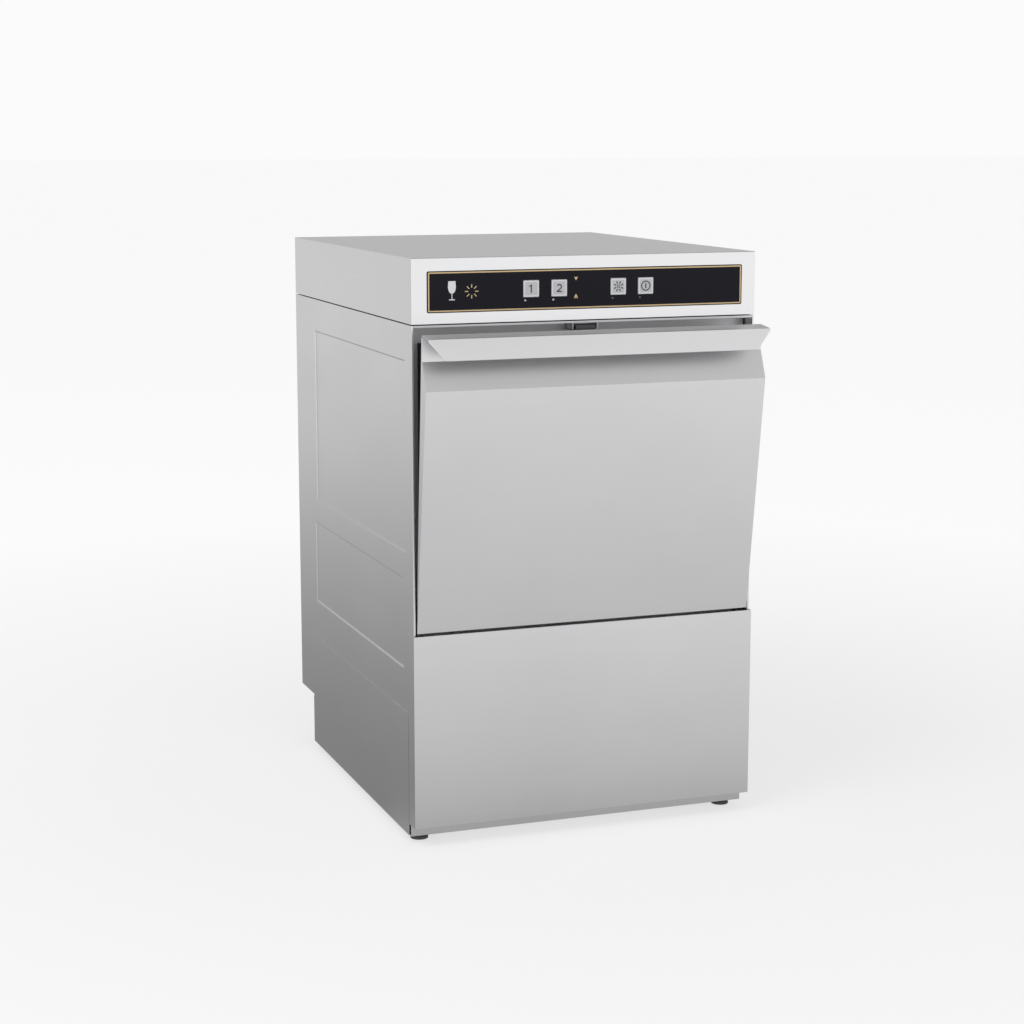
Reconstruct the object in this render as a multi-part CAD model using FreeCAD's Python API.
import FreeCAD
import Part
import math
import os

V = FreeCAD.Vector

# ---- driving dimensions, millimetres; y is measured back from the cover's front face ----
WIDTH = 435.0
DEPTH = 527.0
HEIGHT = 700.0
HALF = WIDTH / 2
SHEET = 1.2
THIN = 1.0

# cover and control strip
COVER_Z = 624.3
BODY_TOP = 623.0
FASCIA_X = 0.5
FASCIA_W = 398.0
FASCIA_Z0 = 637.0
FASCIA_Z1 = 684.8
FASCIA_T = 0.8
KEY_MID = 1.0
KEY_OFFSETS = (-72.4, -37.4, 37.4, 72.4)
KEY_SIZE = 19.5
KEY_Z = 662.2
KEY_GAP = 0.3
BOARD_Y = 6.2
BOARD_T = 1.6

# body
BASE_Z = 9.3
SKIRT_TOP = 160.0
SKIRT_X = HALF + 1.1
SKIRT_FRONT = 21.5
SKIRT_BACK = 451.0
BASE_BACK = 459.4
STEP_Z = 75.0
TRAY_TOP = BASE_Z + SHEET + 0.1
PANEL_LOW = 150.0
RECESSES = ((27.4, 431.0, 353.5, 581.3), (41.0, 440.0, 211.5, 321.8))
RECESS_DEPTH = 1.6
RECESS_SLOPE = 1.6

# lower front panel
LOW_FRONT = -4.5
LOW_X = HALF + 1.3
LOW_Z0 = 24.2
LOW_Z1 = 258.7
LOW_BACK = 19.6

# front frame and wash chamber
FRAME_Y = 25.0
OPEN_X = 201.0
OPEN_Z0 = 284.0
OPEN_Z1 = 599.3
SILL_Z0 = 235.0
WALL_X = 203.0
CHAMBER_FRONT = FRAME_Y + SHEET + 0.2
CHAMBER_BACK = 470.0
ROOF_Z = 606.0
TANK_TOP = 240.0
TANK_FLOOR = 188.0
SUMP_FLOOR = 150.0
SUMP_X = 75.0
SUMP_Y0 = 100.0
SUMP_Y1 = 230.0
LEDGE_TOP = 229.2
OUTLET_X = 40.0
OUTLET_Z = 168.0
OVERFLOW = (60.0, 140.0)
RAIL_Z = 287.0
RAIL_X = 186.0
RAIL_T = 1.5
RAIL_FRONT = 34.0
ARM_Y = 248.0
FILTER_X = 193.0
ELEMENT_Z = 205.0
ELEMENT_END_X = 10.0
ELEMENT_R = 4.0

# door, drawn closed and then swung to its rest angle
DOOR_X = 213.5
HINGE_Y = 8.0
HINGE_Z = 272.0
REST_DEG = 4.3
DOOR_FOOT = (-2.0, 262.3)
DOOR_KNEE = (-20.0, 554.0)
DOOR_VALLEY = (-4.0, 586.0)
DOOR_TOP = (-4.0, 613.9)
PAN_X = 201.8
PAN_Y = 20.0
PAN_Z0 = 280.0
PAN_Z1 = 600.2
HANDLE_POINTS = ((-0.5, 615.2), (-25.0, 614.2), (-33.0, 591.0))
HANDLE_INSET = 21.0

# door counterbalance: crank, slotted rod and spring in the side cavity
PIN_R = 4.0
RUN_FIT = 0.06
CRANK = 34.0
CRANK_START = -45.0
CRANK_PIN_R = 2.5
ARM_X0 = 207.5
ARM_X1 = 210.5
ROD_X0 = 211.0
ROD_X1 = 213.0
ROD_Y = 34.0
ROD_LIFT = 31.5
ROD_SLOT = 3.55
ROD_HOOK_Z = 200.0
ANCHOR_Z = 34.0
SPRING_R = 2.8
SPRING_TURNS = 30
EYE_R = 3.0
WIRE_R = 0.6

# feet and services
FRONT_FOOT = (200.5, 38.0)
REAR_FOOT = (190.0, 437.0)
FOOT_R = 10.8
INLET = (150.0, 42.0)
INLET_R = 13.2
DRAIN = (-140.0, 36.0)
DRAIN_R = 11.0
GLAND = (0.0, 46.0)
GLAND_BORE = 5.0
STUD = (62.0, 32.0)
STUD_R = 3.0

# middle of the whole object's depth, where the frame's origin sits
FRONT_MOST = -57.963
Y_MID = (DEPTH + FRONT_MOST) / 2

SAVED = []


def block(x0, x1, y0, y1, z0, z1):
    return Part.makeBox(x1 - x0, y1 - y0, z1 - z0, V(x0, y0, z0))


def face_of(points):
    return Part.Face(Part.makePolygon(points + [points[0]]))


def prism_x(points, x0, x1):
    return face_of([V(x0, y, z) for y, z in points]).extrude(V(x1 - x0, 0, 0))


def prism_y(points, y0, y1):
    return face_of([V(x, y0, z) for x, z in points]).extrude(V(0, y1 - y0, 0))


def prism_z(points, z0, z1):
    return face_of([V(x, y, z0) for x, y in points]).extrude(V(0, 0, z1 - z0))


def rod(x, y, z, axis, radius, length):
    return Part.makeCylinder(radius, length, V(x, y, z), V(*axis))


def tube(x, y, z, axis, outer, inner, length):
    return rod(x, y, z, axis, outer, length).cut(rod(x, y, z, axis, inner, length))


def fuse(shapes):
    first = shapes[0]
    return first.fuse(shapes[1:]).removeSplitter() if len(shapes) > 1 else first


def cut(shape, tools):
    return shape.cut(Part.makeCompound(tools))


def mirror(shape):
    return shape.mirror(V(0, 0, 0), V(1, 0, 0))


def ribbon(points, thick):
    """Outline of a folded sheet: the polyline and its offset to the right of travel."""
    normals = []
    for (y0, z0), (y1, z1) in zip(points, points[1:]):
        size = math.hypot(y1 - y0, z1 - z0)
        normals.append(((z1 - z0) / size, -(y1 - y0) / size))
    inner = []
    for i, (y, z) in enumerate(points):
        before = normals[max(i - 1, 0)]
        after = normals[min(i, len(normals) - 1)]
        sy = before[0] + after[0]
        sz = before[1] + after[1]
        scale = 2 * thick / (sy * sy + sz * sz)
        inner.append((y + sy * scale, z + sz * scale))
    return list(points) + inner[::-1]


def hexagon(x, y, across, z0, z1):
    radius = across / math.sqrt(3)
    turns = [math.radians(60 * i) for i in range(6)]
    return prism_z([(x + radius * math.cos(t), y + radius * math.sin(t)) for t in turns], z0, z1)


def path_wire(points, bend):
    """Straight runs joined by tangent arcs."""
    edges = []
    start = points[0]
    for before, corner, after in zip(points, points[1:], points[2:]):
        back = (before - corner).normalize()
        ahead = (after - corner).normalize()
        half = back.getAngle(ahead) / 2
        trim = bend / math.tan(half)
        arc_in = corner + back * trim
        arc_out = corner + ahead * trim
        middle = (back + ahead).normalize()
        arc_mid = corner + middle * (bend / math.sin(half) - bend)
        edges.append(Part.makeLine(start, arc_in))
        edges.append(Part.Arc(arc_in, arc_mid, arc_out).toShape())
        start = arc_out
    edges.append(Part.makeLine(start, points[-1]))
    return Part.Wire(edges)


def bent_bar(points, bend, radius):
    ends = [V(*p) for p in points]
    wire = path_wire(ends, bend)
    ring = Part.Wire(Part.makeCircle(radius, ends[0], ends[1] - ends[0]))
    return wire.makePipeShell([ring], True, False)


def bent_pipe(points, bend, radius, wall):
    return bent_bar(points, bend, radius).cut(bent_bar(points, bend, radius - wall))


def swing(shape):
    turned = shape.copy()
    turned.rotate(V(0, HINGE_Y, HINGE_Z), V(1, 0, 0), REST_DEG)
    return turned


def save(name, shape):
    placed = shape.copy()
    placed.translate(V(0, -Y_MID, 0))
    placed.exportStep("parts/" + name + ".step")
    SAVED.append((name, placed))


def pair(name, shape):
    """The piece drawn on the right-hand side, and its mirror image on the left."""
    save(name + "_right", shape)
    save(name + "_left", mirror(shape))


# ---- cabinet shell ----

def base_tray():
    outline = [(SKIRT_FRONT, BASE_Z), (BASE_BACK, BASE_Z), (BASE_BACK, STEP_Z - 0.2),
               (SKIRT_BACK, STEP_Z - 0.2), (SKIRT_BACK, SKIRT_TOP), (SKIRT_FRONT, SKIRT_TOP)]
    wall = prism_x(outline, SKIRT_X - THIN, SKIRT_X)
    floor = block(-SKIRT_X, SKIRT_X, SKIRT_FRONT, BASE_BACK, BASE_Z, BASE_Z + SHEET)
    apron = block(-HALF, HALF, 16.0, SKIRT_FRONT, BASE_Z, BASE_Z + SHEET)
    strip = block(-HALF, HALF, 16.0, 16.0 + SHEET, BASE_Z, 60.0)
    back = block(-SKIRT_X, SKIRT_X, BASE_BACK - THIN, BASE_BACK, BASE_Z, STEP_Z - 0.2)
    anchor = block(ROD_X0, ROD_X1, ROD_Y - 5, ROD_Y + 5, BASE_Z, ANCHOR_Z + 3.6)
    anchor = anchor.cut(rod(ROD_X0 - 1, ROD_Y, ANCHOR_Z, (1, 0, 0), 1.6, 4))
    ribs = [block(-190, 190, y, y + 6, BASE_Z, BASE_Z + 4) for y in (120.0, 250.0)]
    tray = fuse([wall, mirror(wall), floor, apron, strip, back, anchor, mirror(anchor)] + ribs)
    holes = [rod(sx * x, y, 0, (0, 0, 1), 4.3, 30) for sx in (-1, 1) for x, y in (FRONT_FOOT, REAR_FOOT)]
    for (x, z), radius in ((INLET, 14.0), (DRAIN, 11.6), (GLAND, 8.2), (STUD, 3.3)):
        holes.append(rod(x, BASE_BACK - 4, z, (0, 1, 0), radius, 8))
    vents = [block(-60 + 14 * i, -52 + 14 * i, 200, 240, 0, 30) for i in range(9)]
    return cut(tray, holes + vents)


def frustum(y0, y1, z0, z1, x_out, x_in, slope):
    outer = [V(x_out, y0, z0), V(x_out, y1, z0), V(x_out, y1, z1), V(x_out, y0, z1)]
    inner = [V(x_in, y0 + slope, z0 + slope), V(x_in, y1 - slope, z0 + slope),
             V(x_in, y1 - slope, z1 - slope), V(x_in, y0 + slope, z1 - slope)]
    wires = [Part.makePolygon(p + [p[0]]) for p in (outer, inner)]
    return Part.makeLoft(wires, True, True)


def side_panel():
    outline = [(0, PANEL_LOW), (440, PANEL_LOW), (440, STEP_Z), (DEPTH, STEP_Z),
               (DEPTH, BODY_TOP), (0, BODY_TOP)]
    sheet = prism_x(outline, HALF - SHEET, HALF)
    hem = block(HALF - 2.5, HALF - SHEET, 0, 12, LOW_Z1 - 20, BODY_TOP)
    ledge = block(HALF - 11, HALF - SHEET, 30, DEPTH - 3, BODY_TOP - SHEET, BODY_TOP)
    flange = block(HALF - 11, HALF - SHEET, DEPTH - 2.6, DEPTH - 1.4, 80, BODY_TOP - 2)
    bosses = [frustum(y0 - 1, y1 + 1, z0 - 1, z1 + 1, HALF - 0.2, HALF - RECESS_DEPTH - SHEET,
                      RECESS_SLOPE) for y0, y1, z0, z1 in RECESSES]
    dents = [frustum(y0, y1, z0, z1, HALF, HALF - RECESS_DEPTH, RECESS_SLOPE)
             for y0, y1, z0, z1 in RECESSES]
    return cut(fuse([sheet, hem, ledge, flange] + bosses), dents)


def rear_panel():
    x = HALF - SHEET - 0.2
    sheet = block(-x, x, DEPTH - SHEET, DEPTH, STEP_Z, BODY_TOP)
    soffit = block(-x, x, BASE_BACK + 0.2, DEPTH, STEP_Z, STEP_Z + SHEET)
    lip = block(-x, x, BASE_BACK + 0.2, BASE_BACK + 0.2 + SHEET, STEP_Z, STEP_Z + 16)
    slots = [block(cx - 35, cx + 35, DEPTH - 3, DEPTH + 1, z, z + 4)
             for cx in (-95.0, 95.0) for z in [150.0 + 12 * i for i in range(8)]]
    return cut(fuse([sheet, soffit, lip]), slots)


def top_cover():
    outer = block(-HALF, HALF, 0, DEPTH, COVER_Z, HEIGHT)
    inner = block(-HALF + SHEET, HALF - SHEET, SHEET, DEPTH - SHEET, COVER_Z - 1, HEIGHT - SHEET)
    shell = outer.cut(inner)
    rim = block(-HALF, HALF, 0, DEPTH, COVER_Z, COVER_Z + SHEET)
    rim = rim.cut(block(-HALF + 9, HALF - 9, 9, DEPTH - 9, COVER_Z - 1, COVER_Z + 3))
    window = block(KEY_MID - 92, KEY_MID + 92, -1, SHEET + 1, KEY_Z - 14, KEY_Z + 14)
    return fuse([shell, rim]).cut(window)


def lower_front_panel():
    front = block(-LOW_X, LOW_X, LOW_FRONT, LOW_FRONT + SHEET, LOW_Z0, LOW_Z1)
    side = block(HALF + 0.1, LOW_X, LOW_FRONT, LOW_BACK, LOW_Z0, LOW_Z1)
    hem = block(-LOW_X, LOW_X, LOW_FRONT, LOW_FRONT + 2.4, LOW_Z1 - 8, LOW_Z1)
    foot = block(-LOW_X, LOW_X, LOW_FRONT, 14, LOW_Z0, LOW_Z0 + SHEET)
    return fuse([front, side, mirror(side), hem, foot])


# ---- front frame and wash chamber ----

def frame_head():
    x = HALF - 2.6
    plate = block(-x, x, FRAME_Y, FRAME_Y + SHEET, OPEN_Z1, BODY_TOP)
    shelf = block(-x, x, 0, FRAME_Y, BODY_TOP - SHEET, BODY_TOP)
    nose = block(-x, x, 0, SHEET, BODY_TOP - 2.6, BODY_TOP)
    return fuse([plate, shelf, nose])


def frame_jamb():
    plate = block(OPEN_X, HALF - 2.6, FRAME_Y, FRAME_Y + SHEET, SILL_Z0, OPEN_Z1 - 0.1)
    back = block(HALF - 2.6, HALF - 1.8, FRAME_Y, FRAME_Y + SHEET, SILL_Z0, OPEN_Z1 - 0.1)
    slot = block(ARM_X0 - 1, ARM_X1 + 1, FRAME_Y - 1, FRAME_Y + 3, HINGE_Z - 29, HINGE_Z + 29)
    return fuse([plate, back]).cut(slot)


def frame_sill():
    x = OPEN_X - 0.1
    plate = block(-x, x, FRAME_Y, FRAME_Y + SHEET, SILL_Z0, OPEN_Z0)
    drip = block(-x, x, FRAME_Y + SHEET, FRAME_Y + 14, OPEN_Z0 - 14, OPEN_Z0 - 14 + SHEET)
    return fuse([plate, drip])


def door_gasket():
    """Rubber trim gripping the edge of the loading opening, with a bulb towards the door."""
    def ring(out, inn, y0, y1):
        big = block(-OPEN_X - out, OPEN_X + out, y0, y1, OPEN_Z0 - out, OPEN_Z1 + out)
        return big.cut(block(-OPEN_X + inn, OPEN_X - inn, y0 - 1, y1 + 1, OPEN_Z0 + inn, OPEN_Z1 - inn))
    front = ring(1.5, 0.8, FRAME_Y - 3.0, FRAME_Y - 0.05)
    bulb = ring(0.9, 0.3, FRAME_Y - 4.4, FRAME_Y - 3.0)
    throat = ring(-0.1, 0.8, FRAME_Y - 0.05, FRAME_Y + SHEET + 0.1)
    return fuse([front, bulb, throat])


def chamber_wall():
    sheet = block(WALL_X, WALL_X + THIN, CHAMBER_FRONT, CHAMBER_BACK + THIN, TANK_TOP, ROOF_Z)
    flange = block(WALL_X, WALL_X + 4, CHAMBER_FRONT, CHAMBER_FRONT + THIN, HINGE_Z + 38, ROOF_Z)
    return fuse([sheet, flange])


def chamber_wall_rear():
    x = WALL_X - 0.1
    sheet = block(-x, x, CHAMBER_BACK, CHAMBER_BACK + THIN, TANK_TOP, ROOF_Z)
    emboss = block(-150, 150, CHAMBER_BACK - 1.5, CHAMBER_BACK, 340, 343)
    return fuse([sheet, emboss])


def chamber_roof():
    x = WALL_X + THIN
    sheet = block(-x, x, CHAMBER_FRONT, CHAMBER_BACK + THIN, ROOF_Z + 0.1, ROOF_Z + 0.1 + THIN)
    turn = block(-x, x, CHAMBER_FRONT, CHAMBER_FRONT + THIN, ROOF_Z + 0.1, ROOF_Z + 12)
    return fuse([sheet, turn]).cut(rod(0, ARM_Y, ROOF_Z - 2, (0, 0, 1), 12.2, 6))


def wash_tank():
    x = WALL_X - 0.1
    y0 = CHAMBER_FRONT
    y1 = CHAMBER_BACK + THIN
    upper = block(-x, x, y0, y1, TANK_FLOOR, TANK_TOP - 0.1)
    upper = upper.cut(block(-x + SHEET, x - SHEET, y0 + SHEET, y1 - SHEET, TANK_FLOOR + SHEET, TANK_TOP + 1))
    sump = block(-SUMP_X, SUMP_X, SUMP_Y0, SUMP_Y1, SUMP_FLOOR, TANK_FLOOR + SHEET)
    hollow = block(-SUMP_X + SHEET, SUMP_X - SHEET, SUMP_Y0 + SHEET, SUMP_Y1 - SHEET,
                   SUMP_FLOOR + SHEET, TANK_TOP)
    ledge = block(x - 19, x - SHEET, y0 + SHEET, y1 - SHEET, LEDGE_TOP - SHEET, LEDGE_TOP)
    gussets = [block(x - 19, x - SHEET, y, y + 2, TANK_FLOOR, LEDGE_TOP) for y in (90.0, 390.0)]
    ledges = fuse([ledge] + gussets)
    body = fuse([upper, sump, ledges, mirror(ledges)]).cut(hollow)
    outlets = [rod(OUTLET_X, SUMP_Y1 - 4, OUTLET_Z, (0, 1, 0), 12.2, 8),
               rod(-OUTLET_X, SUMP_Y1 - 4, OUTLET_Z, (0, 1, 0), 9.0, 8),
               rod(0, ARM_Y, TANK_FLOOR - 2, (0, 0, 1), 10.2, 6)]
    outlets += [rod(sx * ELEMENT_END_X, y0 - 2, ELEMENT_Z, (0, 1, 0), 4.2, 6) for sx in (-1, 1)]
    return cut(body, outlets)


def rack_rail():
    x1 = WALL_X - 0.1
    y1 = CHAMBER_BACK - 4
    shelf = block(RAIL_X, x1, RAIL_FRONT, y1, RAIL_Z - RAIL_T, RAIL_Z)
    web = block(x1 - RAIL_T, x1, RAIL_FRONT, y1, RAIL_Z - 14, RAIL_Z)
    lip = block(RAIL_X, RAIL_X + RAIL_T, RAIL_FRONT, y1, RAIL_Z - 6, RAIL_Z)
    return fuse([shelf, web, lip])


def tank_filter():
    low = LEDGE_TOP + 0.1
    top = low + SHEET
    plate = block(-FILTER_X, FILTER_X, 44, 452, low, top)
    knob = block(-14, 14, 78, 90, top, top + 9.5)
    grip = block(-10, 10, 76, 92, top + 2.5, top + 6.5)
    body = fuse([plate, knob]).cut(grip)
    slots = []
    for i in range(12):
        for j in range(9):
            x = 30 * (i - 5.5)
            y = 108 + 40 * j
            if abs(x) > 30 or abs(y - ARM_Y) > 40:
                slots.append(block(x - 10, x + 10, y - 2, y + 2, low - 1, top + 1))
    for (x, y), radius in (((0, ARM_Y), 17), (OVERFLOW, 16)):
        slots.append(rod(x, y, low - 1, (0, 0, 1), radius, 4))
    return cut(body, slots)


def overflow_pipe():
    x, y = OVERFLOW
    rim = LEDGE_TOP + 4.8
    pipe = tube(x, y, SUMP_FLOOR + SHEET, (0, 0, 1), 11, 9.5, 86)
    collar = tube(x, y, rim - 3, (0, 0, 1), 15, 9.5, 3)
    loop = bent_bar([(x - 9.5, y, rim), (x - 9.5, y, rim + 14), (x + 9.5, y, rim + 14),
                     (x + 9.5, y, rim)], 6, 1.4)
    return fuse([pipe, collar, loop])


def tank_element():
    half = [(ELEMENT_END_X, CHAMBER_FRONT - 12), (ELEMENT_END_X, 70), (150, 70), (150, 400)]
    run = [(x, y, ELEMENT_Z) for x, y in half]
    back = [(-x, y, z) for x, y, z in run[::-1]]
    return bent_bar(run + back, 18, ELEMENT_R)


# ---- spray arms ----

POST_R = 8.0
POST_BORE = 6.6
SPINDLE_BORE = 5.6
SPINDLE_LEN = 27.0
CAP_R = 12.0
CAP_T = 4.0
LOWER_SPINDLE_Z = 254.0
UPPER_SPINDLE_Z = 567.0
WASH_LEN = 182.0
WASH_HALF_WIDTH = 12.0
WASH_HEIGHT = 12.0
WASH_JET_XS = (36, 68, 98, 126, 152, 172)
RINSE_LEN = 172.0
RINSE_R = 4.5
RINSE_NOZZLE_YS = (45, 85, 125, 160)


def lower_arm_post():
    tip = LOWER_SPINDLE_Z + SPINDLE_LEN
    stem = tube(0, ARM_Y, 176, (0, 0, 1), 9.6, POST_BORE, LOWER_SPINDLE_Z - 176)
    flange = tube(0, ARM_Y, TANK_FLOOR + SHEET + 0.1, (0, 0, 1), 16, POST_BORE, 3)
    spindle = tube(0, ARM_Y, LOWER_SPINDLE_Z, (0, 0, 1), POST_R, SPINDLE_BORE, SPINDLE_LEN)
    cap = rod(0, ARM_Y, tip, (0, 0, 1), CAP_R, CAP_T)
    knob = rod(0, ARM_Y, tip - 1.6, (0, 0, 1), CAP_R - 1, 1.6)
    return fuse([stem, flange, spindle, knob, cap])


def upper_arm_post():
    z = UPPER_SPINDLE_Z
    stem = tube(0, ARM_Y, z + SPINDLE_LEN, (0, 0, 1), 11.8, POST_BORE, 26)
    plate = tube(0, ARM_Y, ROOF_Z - 3.1, (0, 0, 1), 20, POST_BORE, 3)
    spindle = tube(0, ARM_Y, z, (0, 0, 1), POST_R, SPINDLE_BORE, SPINDLE_LEN)
    cap = rod(0, ARM_Y, z - CAP_T, (0, 0, 1), CAP_R, CAP_T)
    knob = rod(0, ARM_Y, z, (0, 0, 1), CAP_R - 1, 1.6)
    return fuse([stem, plate, spindle, knob, cap])


def wash_arm(z0, face):
    """A flat pressed arm on a hub; face is +1 when the jets point up."""
    z1 = z0 + WASH_HEIGHT
    w = WASH_HALF_WIDTH
    arm = block(-WASH_LEN, WASH_LEN, ARM_Y - w, ARM_Y + w, z0, z1)
    uprights = [e for e in arm.Edges if abs(e.tangentAt(e.FirstParameter).z) > 0.9]
    arm = arm.makeFillet(10, uprights)
    cavity = block(-WASH_LEN + 8, WASH_LEN - 8, ARM_Y - w + SHEET, ARM_Y + w - SHEET,
                   z0 + SHEET, z1 - SHEET)
    hub = rod(0, ARM_Y, z0 - 0.6, (0, 0, 1), 19, 13.2)
    top = z1 - 2 if face > 0 else z0 - 1
    jets = []
    for i, x in enumerate(WASH_JET_XS):
        lean = 2.0 if i % 2 else -2.0
        jets.append(block(x - 5, x + 5, ARM_Y - 1 + lean, ARM_Y + 1 + lean, top, top + 3))
        jets.append(block(-x - 5, -x + 5, ARM_Y - 1 - lean, ARM_Y + 1 - lean, top, top + 3))
    body = arm.cut(cavity).fuse(hub).removeSplitter()
    bore = rod(0, ARM_Y, z0 - 2, (0, 0, 1), POST_R + RUN_FIT, 17)
    return cut(body, jets + [bore])


def rinse_arm(z_mid, face):
    bar = rod(0, ARM_Y - RINSE_LEN, z_mid, (0, 1, 0), RINSE_R, 2 * RINSE_LEN)
    hub = rod(0, ARM_Y, z_mid - 5, (0, 0, 1), 14, 10)
    ends = [rod(0, ARM_Y + s * RINSE_LEN - 3, z_mid, (0, 1, 0), 5.4, 6) for s in (-1, 1)]
    places = [ARM_Y + s * y for y in RINSE_NOZZLE_YS for s in (-1, 1)]
    nozzles = [rod(0, y, z_mid, (0, 0, face), 2.2, 5.4) for y in places]
    body = fuse([bar, hub] + ends + nozzles)
    drills = [rod(0, y, z_mid, (0, 0, face), 0.9, 7) for y in places]
    drills.append(rod(0, ARM_Y, z_mid - 8, (0, 0, 1), POST_R + RUN_FIT, 16))
    return cut(body, drills)


# ---- machinery in the base and behind the chamber ----

PUMP_Y = 330.0
PUMP_Z = 78.0
PUMP_X = -165.0
CAN_R = 42.0
CAN_LEN = 120.0
RISER_X = -20.0
PIPE_Z = 165.0
ROOF_PIPE_Z = 617.0
BOILER = (128.0, 322.0)
BOILER_R = 52.0
BOILER_Z = 22.0
BOILER_H = 140.0
BOILER_WALL = 2.0
BOILER_CORNER = 10.0
DOSING_XS = (-150.0, -80.0)
DOSING_Z = 94.0
SWITCH_X = 165.0
SWITCH_Z = 96.0
TERMINAL_X = 20.0


def wash_pump():
    end = PUMP_X + CAN_LEN
    can = rod(PUMP_X, PUMP_Y, PUMP_Z, (1, 0, 0), CAN_R, CAN_LEN)
    shield = rod(end, PUMP_Y, PUMP_Z, (1, 0, 0), CAN_R + 4, 8)
    fins = [tube(PUMP_X + 10 + 10 * i, PUMP_Y, PUMP_Z, (1, 0, 0), CAN_R + 3, CAN_R - 1, 3)
            for i in range(10)]
    volute = rod(end + 8, PUMP_Y, PUMP_Z, (1, 0, 0), CAN_R + 8, 34)
    inlet = rod(end + 42, PUMP_Y, PUMP_Z, (1, 0, 0), 15, 22)
    outlet = rod(RISER_X, PUMP_Y + 30, PUMP_Z, (0, 0, 1), 13, 62)
    feet = [block(PUMP_X + 15, end - 15, PUMP_Y + s * 30 - 6, PUMP_Y + s * 30 + 6, TRAY_TOP, 50)
            for s in (-1, 1)]
    box = block(PUMP_X + 30, end - 40, PUMP_Y - 22, PUMP_Y + 22, PUMP_Z + CAN_R - 4, PUMP_Z + CAN_R + 18)
    body = fuse([can, shield] + fins + [volute, inlet, outlet] + feet + [box])
    bores = [rod(end + 53, PUMP_Y, PUMP_Z, (1, 0, 0), 12, 12),
             rod(RISER_X, PUMP_Y + 30, PUMP_Z + 42, (0, 0, 1), 10, 22)]
    return cut(body, bores)


def suction_pipe():
    run = [(OUTLET_X, SUMP_Y1 - 3, OUTLET_Z), (OUTLET_X, SUMP_Y1 + 32, OUTLET_Z),
           (OUTLET_X + 4, PUMP_Y - 40, PUMP_Z), (OUTLET_X + 4, PUMP_Y, PUMP_Z), (19.5, PUMP_Y, PUMP_Z)]
    return bent_pipe(run, 11, 12, 1.6)


def delivery_runs(radius):
    riser = [(RISER_X, PUMP_Y + 30, PUMP_Z + 62.2), (RISER_X, PUMP_Y + 30, PIPE_Z), (RISER_X, 500, PIPE_Z),
             (RISER_X, 500, ROOF_PIPE_Z), (0, 460, ROOF_PIPE_Z), (0, ARM_Y, ROOF_PIPE_Z)]
    branch = [(RISER_X, PUMP_Y + 30, PIPE_Z), (RISER_X, PUMP_Y - 20, PIPE_Z), (0, ARM_Y, PIPE_Z),
              (0, ARM_Y, 175.9)]
    return [bent_bar(riser, 16, radius), bent_bar(branch, 8, radius)]


def delivery_pipe():
    head = rod(0, ARM_Y, 607.5, (0, 0, 1), 17, 16)
    seat = rod(0, ARM_Y, 600, (0, 0, 1), 11.9, 20.2)
    return cut(fuse(delivery_runs(8.5) + [head]), delivery_runs(7.3) + [seat])


def rounded_can(x, y, z, radius, length, corner):
    can = rod(x, y, z, (0, 0, 1), radius, length)
    return can.makeFillet(corner, [e for e in can.Edges if e.Length > 2 * math.pi * radius - 1])


def rinse_boiler():
    x, y = BOILER
    lid = BOILER_Z + BOILER_H
    tank = rounded_can(x, y, BOILER_Z, BOILER_R, BOILER_H, BOILER_CORNER)
    flange = rod(x, y, lid - 2, (0, 0, 1), 30, 6)
    turns = [math.radians(60 * i + 30) for i in range(6)]
    bolts = [hexagon(x + 22 * math.cos(t), y + 22 * math.sin(t), 8, lid + 4, lid + 8) for t in turns]
    pins = [rod(x + dx, y, lid + 4, (0, 0, 1), 3, 12) for dx in (-9, 0, 9)]
    legs = [block(x + s * 40 - 8, x + s * 40 + 8, y - 6, y + 6, TRAY_TOP, 40) for s in (-1, 1)]
    stub = rod(x, y + 38, 60, (0, 1, 0), 7, 32)
    hollow = rounded_can(x, y, BOILER_Z + BOILER_WALL, BOILER_R - BOILER_WALL,
                         BOILER_H - 2 * BOILER_WALL, BOILER_CORNER - BOILER_WALL)
    body = fuse([tank, flange] + bolts + pins + legs + [stub])
    return cut(body, [hollow, rod(x, y + 18, 60, (0, 1, 0), 5, 60)])


def drain_pump():
    x, z = DRAIN
    motor = rod(x, 392, z + 4, (0, 1, 0), 24, 34)
    head = rod(x, 424, z + 2, (0, 1, 0), 26, 16)
    spigot = rod(x, 438, z, (0, 1, 0), DRAIN_R, 50)
    foot = block(x - 20, x + 20, 400, 432, TRAY_TOP, 22)
    ring = rod(x, BASE_BACK + 0.1, z, (0, 1, 0), 15, 2)
    inlet = rod(x + 14, 404, z + 20, (0, 0, 1), 9, 24)
    body = fuse([motor, head, spigot, ring, foot, inlet])
    return body.cut(rod(x, 450, z, (0, 1, 0), DRAIN_R - 2.5, 45))


def fill_valve():
    x, z = INLET
    stub = rod(x, 452, z, (0, 1, 0), INLET_R, 32)
    ring = rod(x, BASE_BACK + 0.1, z, (0, 1, 0), 17, 2)
    flange = rod(x, BASE_BACK - THIN - 3.2, z, (0, 1, 0), 19, 3)
    neck = block(x - 13, x + 13, 410, 454, z - 11, z + 11)
    coil = block(x - 15, x + 15, 412, 444, z + 11, z + 42)
    outlet = rod(x, 398, z, (0, 1, 0), 7, 14)
    body = fuse([stub, ring, flange, neck, coil, outlet])
    return body.cut(rod(x, 462, z, (0, 1, 0), INLET_R - 3.5, 24))


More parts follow.
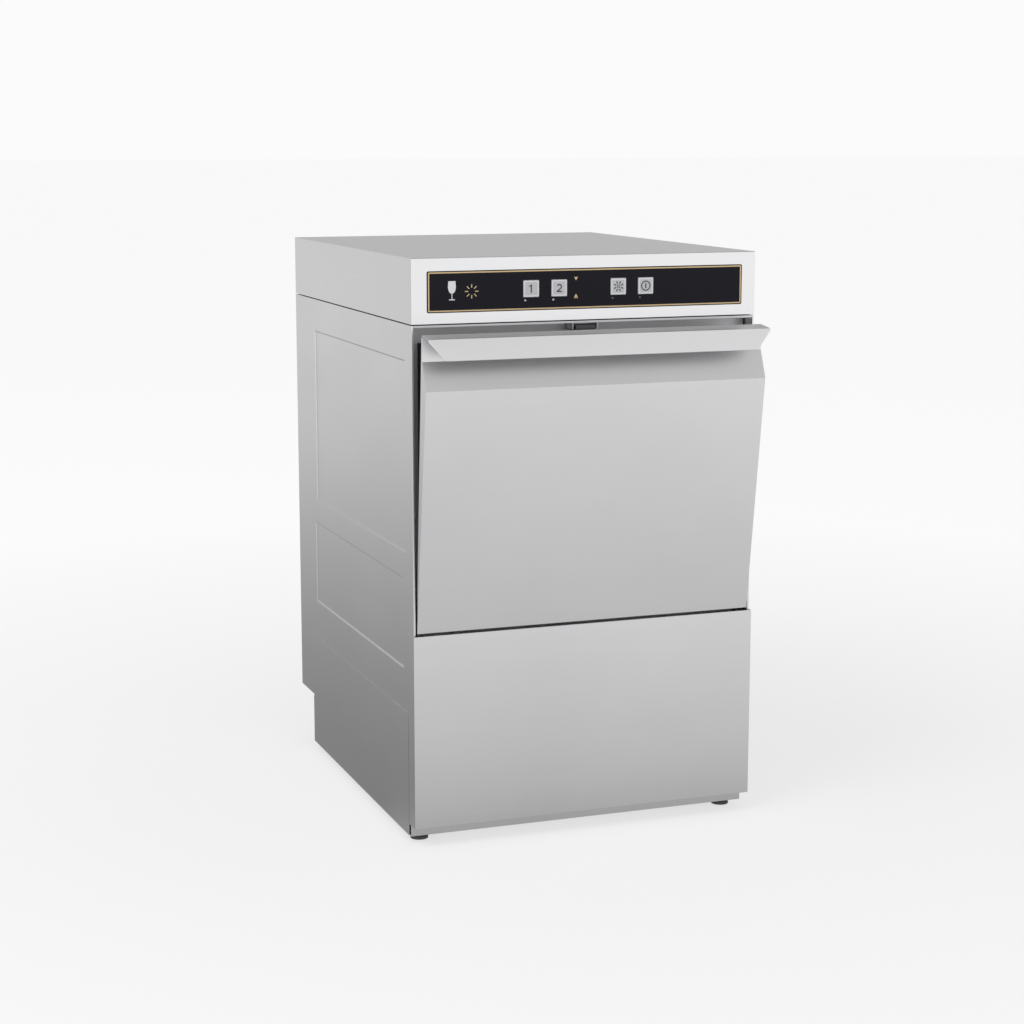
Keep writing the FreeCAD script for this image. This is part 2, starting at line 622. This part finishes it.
def dosing_pumps():
    units = []
    for x in DOSING_XS:
        case = block(x - 26, x + 26, 60, 92, DOSING_Z - 34, DOSING_Z + 28)
        edges = [e for e in case.Edges if abs(e.tangentAt(e.FirstParameter).y) > 0.9]
        case = case.makeFillet(6, edges)
        dial = rod(x, 52, DOSING_Z, (0, 1, 0), 20, 8)
        hub = rod(x, 49, DOSING_Z, (0, 1, 0), 6, 3)
        nipples = [rod(x + s * 10, 70, DOSING_Z - 42, (0, 0, 1), 3, 8) for s in (-1, 1)]
        stand = block(x - 20, x + 20, 92, 94, TRAY_TOP, DOSING_Z + 22)
        units.append(fuse([case, dial, hub, stand] + nipples))
    return Part.makeCompound(units)


def pressure_switch():
    x = SWITCH_X
    z = SWITCH_Z
    drum = rod(x, 70, z, (0, 1, 0), 24, 14)
    bowl = rod(x, 62, z, (0, 1, 0), 20, 8)
    tags = [block(x + dx - 3, x + dx + 3, 52, 62, z - 4, z + 4) for dx in (-10, 0, 10)]
    nipple = rod(x, 84, z, (0, 1, 0), 3, 12)
    stand = block(x - 10, x + 10, 84, 86, TRAY_TOP, z - 12)
    arm = block(x - 10, x + 10, 78, 86, z - 18, z - 12)
    return fuse([drum, bowl, nipple, stand, arm] + tags)


def terminal_block():
    x = TERMINAL_X
    plate = block(x, x + 90, 60, 100, TRAY_TOP, 14)
    cells = [block(x + 6 + 16 * i, x + 18 + 16 * i, 66, 94, 14, 34) for i in range(5)]
    screws = [rod(x + 12 + 16 * i, 80, 34, (0, 0, 1), 3, 2) for i in range(5)]
    return fuse([plate] + cells + screws)


def cable_gland():
    x, z = GLAND
    nut = hexagon(0, 0, 20, 0, 6)
    cap = fuse([nut, rod(0, 0, 6, (0, 0, 1), 9.5, 8), rod(0, 0, -14, (0, 0, 1), 8, 14)])
    lock = hexagon(0, 0, 20, -12, -7)
    body = fuse([cap, lock]).cut(rod(0, 0, -20, (0, 0, 1), GLAND_BORE, 40))
    body.rotate(V(0, 0, 0), V(1, 0, 0), -90)
    body.translate(V(x, BASE_BACK + 0.1, z))
    return body


def earth_stud():
    x, z = STUD
    stud = rod(x, BASE_BACK - 10, z, (0, 1, 0), STUD_R, 28)
    nut = hexagon(0, 0, 9, 0, 4)
    nut.rotate(V(0, 0, 0), V(1, 0, 0), -90)
    nuts = []
    for y in (BASE_BACK - THIN - 4.1, BASE_BACK + 0.1):
        piece = nut.copy()
        piece.translate(V(x, y, z))
        nuts.append(piece)
    return fuse([stud] + nuts)


def foot(x, y):
    pad = rod(x, y, 0, (0, 0, 1), FOOT_R, 3.6)
    pad = pad.makeFillet(1.2, [e for e in pad.Edges if abs(e.BoundBox.ZMin - 3.6) < 0.01
                               and e.BoundBox.ZLength < 0.01])
    cone = Part.makeCone(FOOT_R - 2, 8.0, 2.9, V(x, y, 3.5), V(0, 0, 1))
    stem = rod(x, y, 3, (0, 0, 1), 4.0, 26)
    nuts = [hexagon(x, y, 13, 6.4, BASE_Z - 0.1), hexagon(x, y, 13, TRAY_TOP, 16.5)]
    return fuse([pad, cone, stem] + nuts)


# ---- controls ----

def control_fascia():
    x0 = FASCIA_X - FASCIA_W / 2
    x1 = FASCIA_X + FASCIA_W / 2
    plate = block(x0, x1, -FASCIA_T, 0, FASCIA_Z0, FASCIA_Z1)
    corners = [e for e in plate.Edges if abs(e.tangentAt(e.FirstParameter).y) > 0.9]
    plate = plate.makeFillet(2.0, corners)
    r = KEY_SIZE / 2 + KEY_GAP
    holes = [block(KEY_MID + dx - r, KEY_MID + dx + r, -2, 1, KEY_Z - r, KEY_Z + r)
             for dx in KEY_OFFSETS]
    return cut(plate, holes)


def key(dx):
    x = KEY_MID + dx
    r = KEY_SIZE / 2
    cap = block(x - r, x + r, -1.5, 1.0, KEY_Z - r, KEY_Z + r)
    upright = [e for e in cap.Edges if abs(e.tangentAt(e.FirstParameter).y) > 0.9]
    cap = cap.makeFillet(1.2, upright)
    rim = [e for e in cap.Edges if e.BoundBox.YMax < -1.4]
    cap = cap.makeChamfer(0.3, rim)
    flange = block(x - r - 1.4, x + r + 1.4, 0.5, 1.6, KEY_Z - r - 1.4, KEY_Z + r + 1.4)
    stem = rod(x, 1.0, KEY_Z, (0, 1, 0), 3, 3.6)
    return fuse([cap, flange, stem])


def control_box():
    x = KEY_MID
    y = BOARD_Y
    z = KEY_Z
    board = block(x - 98, x + 98, y, y + BOARD_T, z - 26.2, z + 27.8)
    case = block(x - 90, x + 90, y + BOARD_T, y + 36, z - 22.2, z + 25.8)
    case = case.cut(block(x - 88, x + 88, y + BOARD_T + 2, y + 37, z - 20.2, z + 23.8))
    tops = [rod(x + dx, y - 0.4, z, (0, 1, 0), 3.5, 0.6) for dx in KEY_OFFSETS]
    relays = [block(x - 80 + 26 * i, x - 62 + 26 * i, y + 2.8, y + 22, z - 14, z + 6) for i in range(6)]
    ears = [block(x + s * 94 - 3, x + s * 94 + 3, SHEET + 0.1, y + 0.2, z - 12, z - 6) for s in (-1, 1)]
    return fuse([board, case] + tops + relays + ears)


# ---- door ----

def door_outer_panel():
    profile = [DOOR_FOOT, DOOR_KNEE, DOOR_VALLEY, DOOR_TOP]
    skin = prism_x(ribbon(profile, THIN), -DOOR_X, DOOR_X)
    cheek = prism_x(profile + [(0.0, DOOR_TOP[1]), (0.0, DOOR_FOOT[1])], DOOR_X - THIN, DOOR_X)
    foot_turn = block(-199, 199, -2.0, 3.0, DOOR_FOOT[1], DOOR_FOOT[1] + THIN)
    top_turn = block(-DOOR_X, DOOR_X, -4.0, -0.2, DOOR_TOP[1] - THIN, DOOR_TOP[1])
    return swing(fuse([skin, cheek, mirror(cheek), foot_turn, top_turn]))


def door_inner_panel():
    x = DOOR_X - THIN - 0.2
    flange = block(-x, x, 0.1, 0.1 + THIN, 264.5, 612.6)
    notch = block(PAN_X, x + 1, -1, 3, 260, 346)
    pan = block(-PAN_X, PAN_X, 0.1, PAN_Y, PAN_Z0, PAN_Z1)
    ribs = [block(sx * 120 - 12, sx * 120 + 12, PAN_Y - 1, PAN_Y + 1.2, 300, 580) for sx in (-1, 1)]
    hollow = block(-PAN_X + THIN, PAN_X - THIN, -1, PAN_Y - THIN, PAN_Z0 + THIN, PAN_Z1 - THIN)
    strike = block(-9, 9, 7, 12, PAN_Z1 - 0.5, 610.4)
    body = fuse([flange, pan] + ribs).cut(hollow).fuse(strike).removeSplitter()
    return swing(cut(body, [notch, mirror(notch)]))


def door_handle():
    bent = prism_x(ribbon(list(HANDLE_POINTS)[::-1], -SHEET)[::-1], -DOOR_X, DOOR_X)
    corner = prism_y([(DOOR_X + 1, 613.5), (DOOR_X - HANDLE_INSET, 588.0), (DOOR_X + 1, 588.0)], -45, -24.5)
    return swing(cut(bent, [corner, mirror(corner)]))


def crank_point(deg):
    t = math.radians(deg)
    return HINGE_Y + CRANK * math.cos(t), HINGE_Z + CRANK * math.sin(t)


def hinge_arm():
    width = ARM_X1 - ARM_X0
    strip = prism_x([(0.4, HINGE_Z), (-0.4, HINGE_Z + 10), (-4.6, HINGE_Z + 70), (7.0, HINGE_Z + 70),
                     (12.0, HINGE_Z)], ARM_X0, ARM_X1)
    hub = rod(ARM_X0, HINGE_Y, HINGE_Z, (1, 0, 0), 7.6, width)
    py, pz = crank_point(CRANK_START)
    t = math.radians(CRANK_START)
    ny = -math.sin(t) * 5
    nz = math.cos(t) * 5
    crank = prism_x([(HINGE_Y + ny, HINGE_Z + nz), (py + ny, pz + nz), (py - ny, pz - nz),
                     (HINGE_Y - ny, HINGE_Z - nz)], ARM_X0, ARM_X1)
    knob = rod(ARM_X0, py, pz, (1, 0, 0), 5, width)
    crank_pin = rod(ARM_X0, py, pz, (1, 0, 0), CRANK_PIN_R, ROD_X1 + 0.4 - ARM_X0)
    pivot = rod(201.9, HINGE_Y, HINGE_Z, (1, 0, 0), PIN_R, ARM_X1 - 201.9)
    head = rod(200.9, HINGE_Y, HINGE_Z, (1, 0, 0), 6, 1.2)
    pad = block(ARM_X1, DOOR_X - THIN - 0.05, -3.0, -0.3, HINGE_Z + 50, HINGE_Z + 68)
    return swing(fuse([strip, hub, crank, knob, crank_pin, pivot, head, pad]))


def hinge_bracket():
    ear = rod(202.7, HINGE_Y, HINGE_Z, (1, 0, 0), 8, 3)
    tail = block(202.7, 205.7, HINGE_Y, FRAME_Y - 0.1, HINGE_Z - 8, HINGE_Z + 8)
    foot_plate = block(202.7, 206.2, FRAME_Y - 4, FRAME_Y - 0.1, HINGE_Z - 26, HINGE_Z + 26)
    foot_plate = foot_plate.cut(block(200, 210, 0, FRAME_Y - 2.1, 0, HINGE_Z - 8))
    screws = [rod(204.4, FRAME_Y - 4.6, HINGE_Z + dz, (0, 1, 0), 1.6, 3) for dz in (-20, 20)]
    body = fuse([ear, tail, foot_plate] + screws)
    return body.cut(rod(200, HINGE_Y, HINGE_Z, (1, 0, 0), PIN_R + RUN_FIT, 12))


def slot_z():
    return HINGE_Z + ROD_LIFT * math.radians(CRANK_START + REST_DEG)


def tie_rod():
    zc = slot_z()
    head = block(ROD_X0, ROD_X1, 27.0, 47.0, zc - 8.5, zc + 8.5)
    strip = block(ROD_X0, ROD_X1, ROD_Y - 4, ROD_Y + 4, ROD_HOOK_Z - 3.6, zc)
    body = fuse([head, strip])
    near = HINGE_Y + CRANK * math.cos(math.radians(CRANK_START)) + 0.1
    far = HINGE_Y + CRANK - 0.4
    eye = [rod(ROD_X0 - 1, y, zc, (1, 0, 0), ROD_SLOT, 4) for y in (near, far)]
    eye.append(block(ROD_X0 - 1, ROD_X1 + 1, near, far, zc - ROD_SLOT, zc + ROD_SLOT))
    eye.append(rod(ROD_X0 - 1, ROD_Y, ROD_HOOK_Z, (1, 0, 0), 1.6, 4))
    return cut(body, eye)


def balance_spring():
    x = (ROD_X0 + ROD_X1) / 2
    low = ANCHOR_Z + 8
    high = ROD_HOOK_Z - 9
    helix = Part.makeHelix((high - low) / SPRING_TURNS, high - low, SPRING_R)
    ring = Part.Wire(Part.makeCircle(WIRE_R, V(SPRING_R, 0, 0), V(0, 1, 0.28)))
    coil = Part.Wire(helix.Edges).makePipeShell([ring], True, True)
    coil.translate(V(x, ROD_Y, low))
    ends = []
    for z_eye, z_tip in ((ANCHOR_Z + 2.8, low), (ROD_HOOK_Z - 2.8, high)):
        eye = Part.makeTorus(EYE_R, WIRE_R, V(x, ROD_Y, z_eye), V(0, 1, 0))
        z_side = z_eye + (EYE_R if z_tip > z_eye else -EYE_R)
        shank = rod(x, ROD_Y, min(z_side, z_tip), (0, 0, 1), WIRE_R, abs(z_tip - z_side))
        spoke = rod(x - 0.3, ROD_Y, z_tip, (1, 0, 0), WIRE_R, SPRING_R + 0.3)
        ends += [eye, shank, spoke]
    return fuse([coil] + ends)


def catch_bracket():
    """Sheet pocket under the frame's shelf that guides the catch tongue."""
    top = BODY_TOP - SHEET - 0.1
    plate = block(-20, 20, 4, 22, top - 1.2, top)
    cheeks = [block(x, x + 1.2, 4, 22, 613.0, top) for x in (-17.6, 13.4)]
    back = block(-17.6, 14.6, 20.8, 22, 613.0, top)
    return fuse([plate, back] + cheeks)


def catch_tongue():
    tab = block(-12.4, 12.4, 6, 15, 611.4, 617.4)
    edges = [e for e in tab.Edges if e.BoundBox.ZMax < 611.5 and e.BoundBox.XLength > 20]
    return tab.makeFillet(2.0, edges)


def build():
    os.makedirs("parts", exist_ok=True)
    save("base_tray", base_tray())
    pair("side_panel", side_panel())
    save("rear_panel", rear_panel())
    save("top_cover", top_cover())
    save("lower_front_panel", lower_front_panel())
    save("frame_head", frame_head())
    pair("frame_jamb", frame_jamb())
    save("frame_sill", frame_sill())
    save("door_gasket", door_gasket())
    pair("chamber_wall", chamber_wall())
    save("chamber_wall_rear", chamber_wall_rear())
    save("chamber_roof", chamber_roof())
    save("wash_tank", wash_tank())
    pair("rack_rail", rack_rail())
    save("tank_filter", tank_filter())
    save("overflow_pipe", overflow_pipe())
    save("tank_element", tank_element())
    save("lower_arm_post", lower_arm_post())
    save("upper_arm_post", upper_arm_post())
    save("lower_wash_arm", wash_arm(255.4, 1))
    save("lower_rinse_arm", rinse_arm(273.9, 1))
    save("upper_wash_arm", wash_arm(581.0, -1))
    save("upper_rinse_arm", rinse_arm(574.5, -1))
    save("wash_pump", wash_pump())
    save("suction_pipe", suction_pipe())
    save("delivery_pipe", delivery_pipe())
    save("rinse_boiler", rinse_boiler())
    save("drain_pump", drain_pump())
    save("fill_valve", fill_valve())
    save("dosing_pumps", dosing_pumps())
    save("pressure_switch", pressure_switch())
    save("terminal_block", terminal_block())
    save("cable_gland", cable_gland())
    save("earth_stud", earth_stud())
    for name, (x, y) in (("front_feet", FRONT_FOOT), ("rear_feet", REAR_FOOT)):
        save(name, Part.makeCompound([foot(sx * x, y) for sx in (-1, 1)]))
    save("control_fascia", control_fascia())
    for i, dx in enumerate(KEY_OFFSETS):
        save("key_" + str(i + 1), key(dx))
    save("control_box", control_box())
    save("door_outer_panel", door_outer_panel())
    save("door_inner_panel", door_inner_panel())
    save("door_handle", door_handle())
    pair("hinge_arm", hinge_arm())
    pair("hinge_bracket", hinge_bracket())
    pair("tie_rod", tie_rod())
    pair("spring", balance_spring())
    save("catch_bracket", catch_bracket())
    save("catch_tongue", catch_tongue())
    whole = Part.makeCompound([shape for name, shape in SAVED])
    box = whole.BoundBox
    print("pieces", len(SAVED))
    print("x", box.XMin, box.XMax, "y", box.YMin, box.YMax, "z", box.ZMin, box.ZMax)
    for name, shape in SAVED:
        if not shape.isValid() or shape.Volume <= 0:
            print("check this piece:", name)


build()
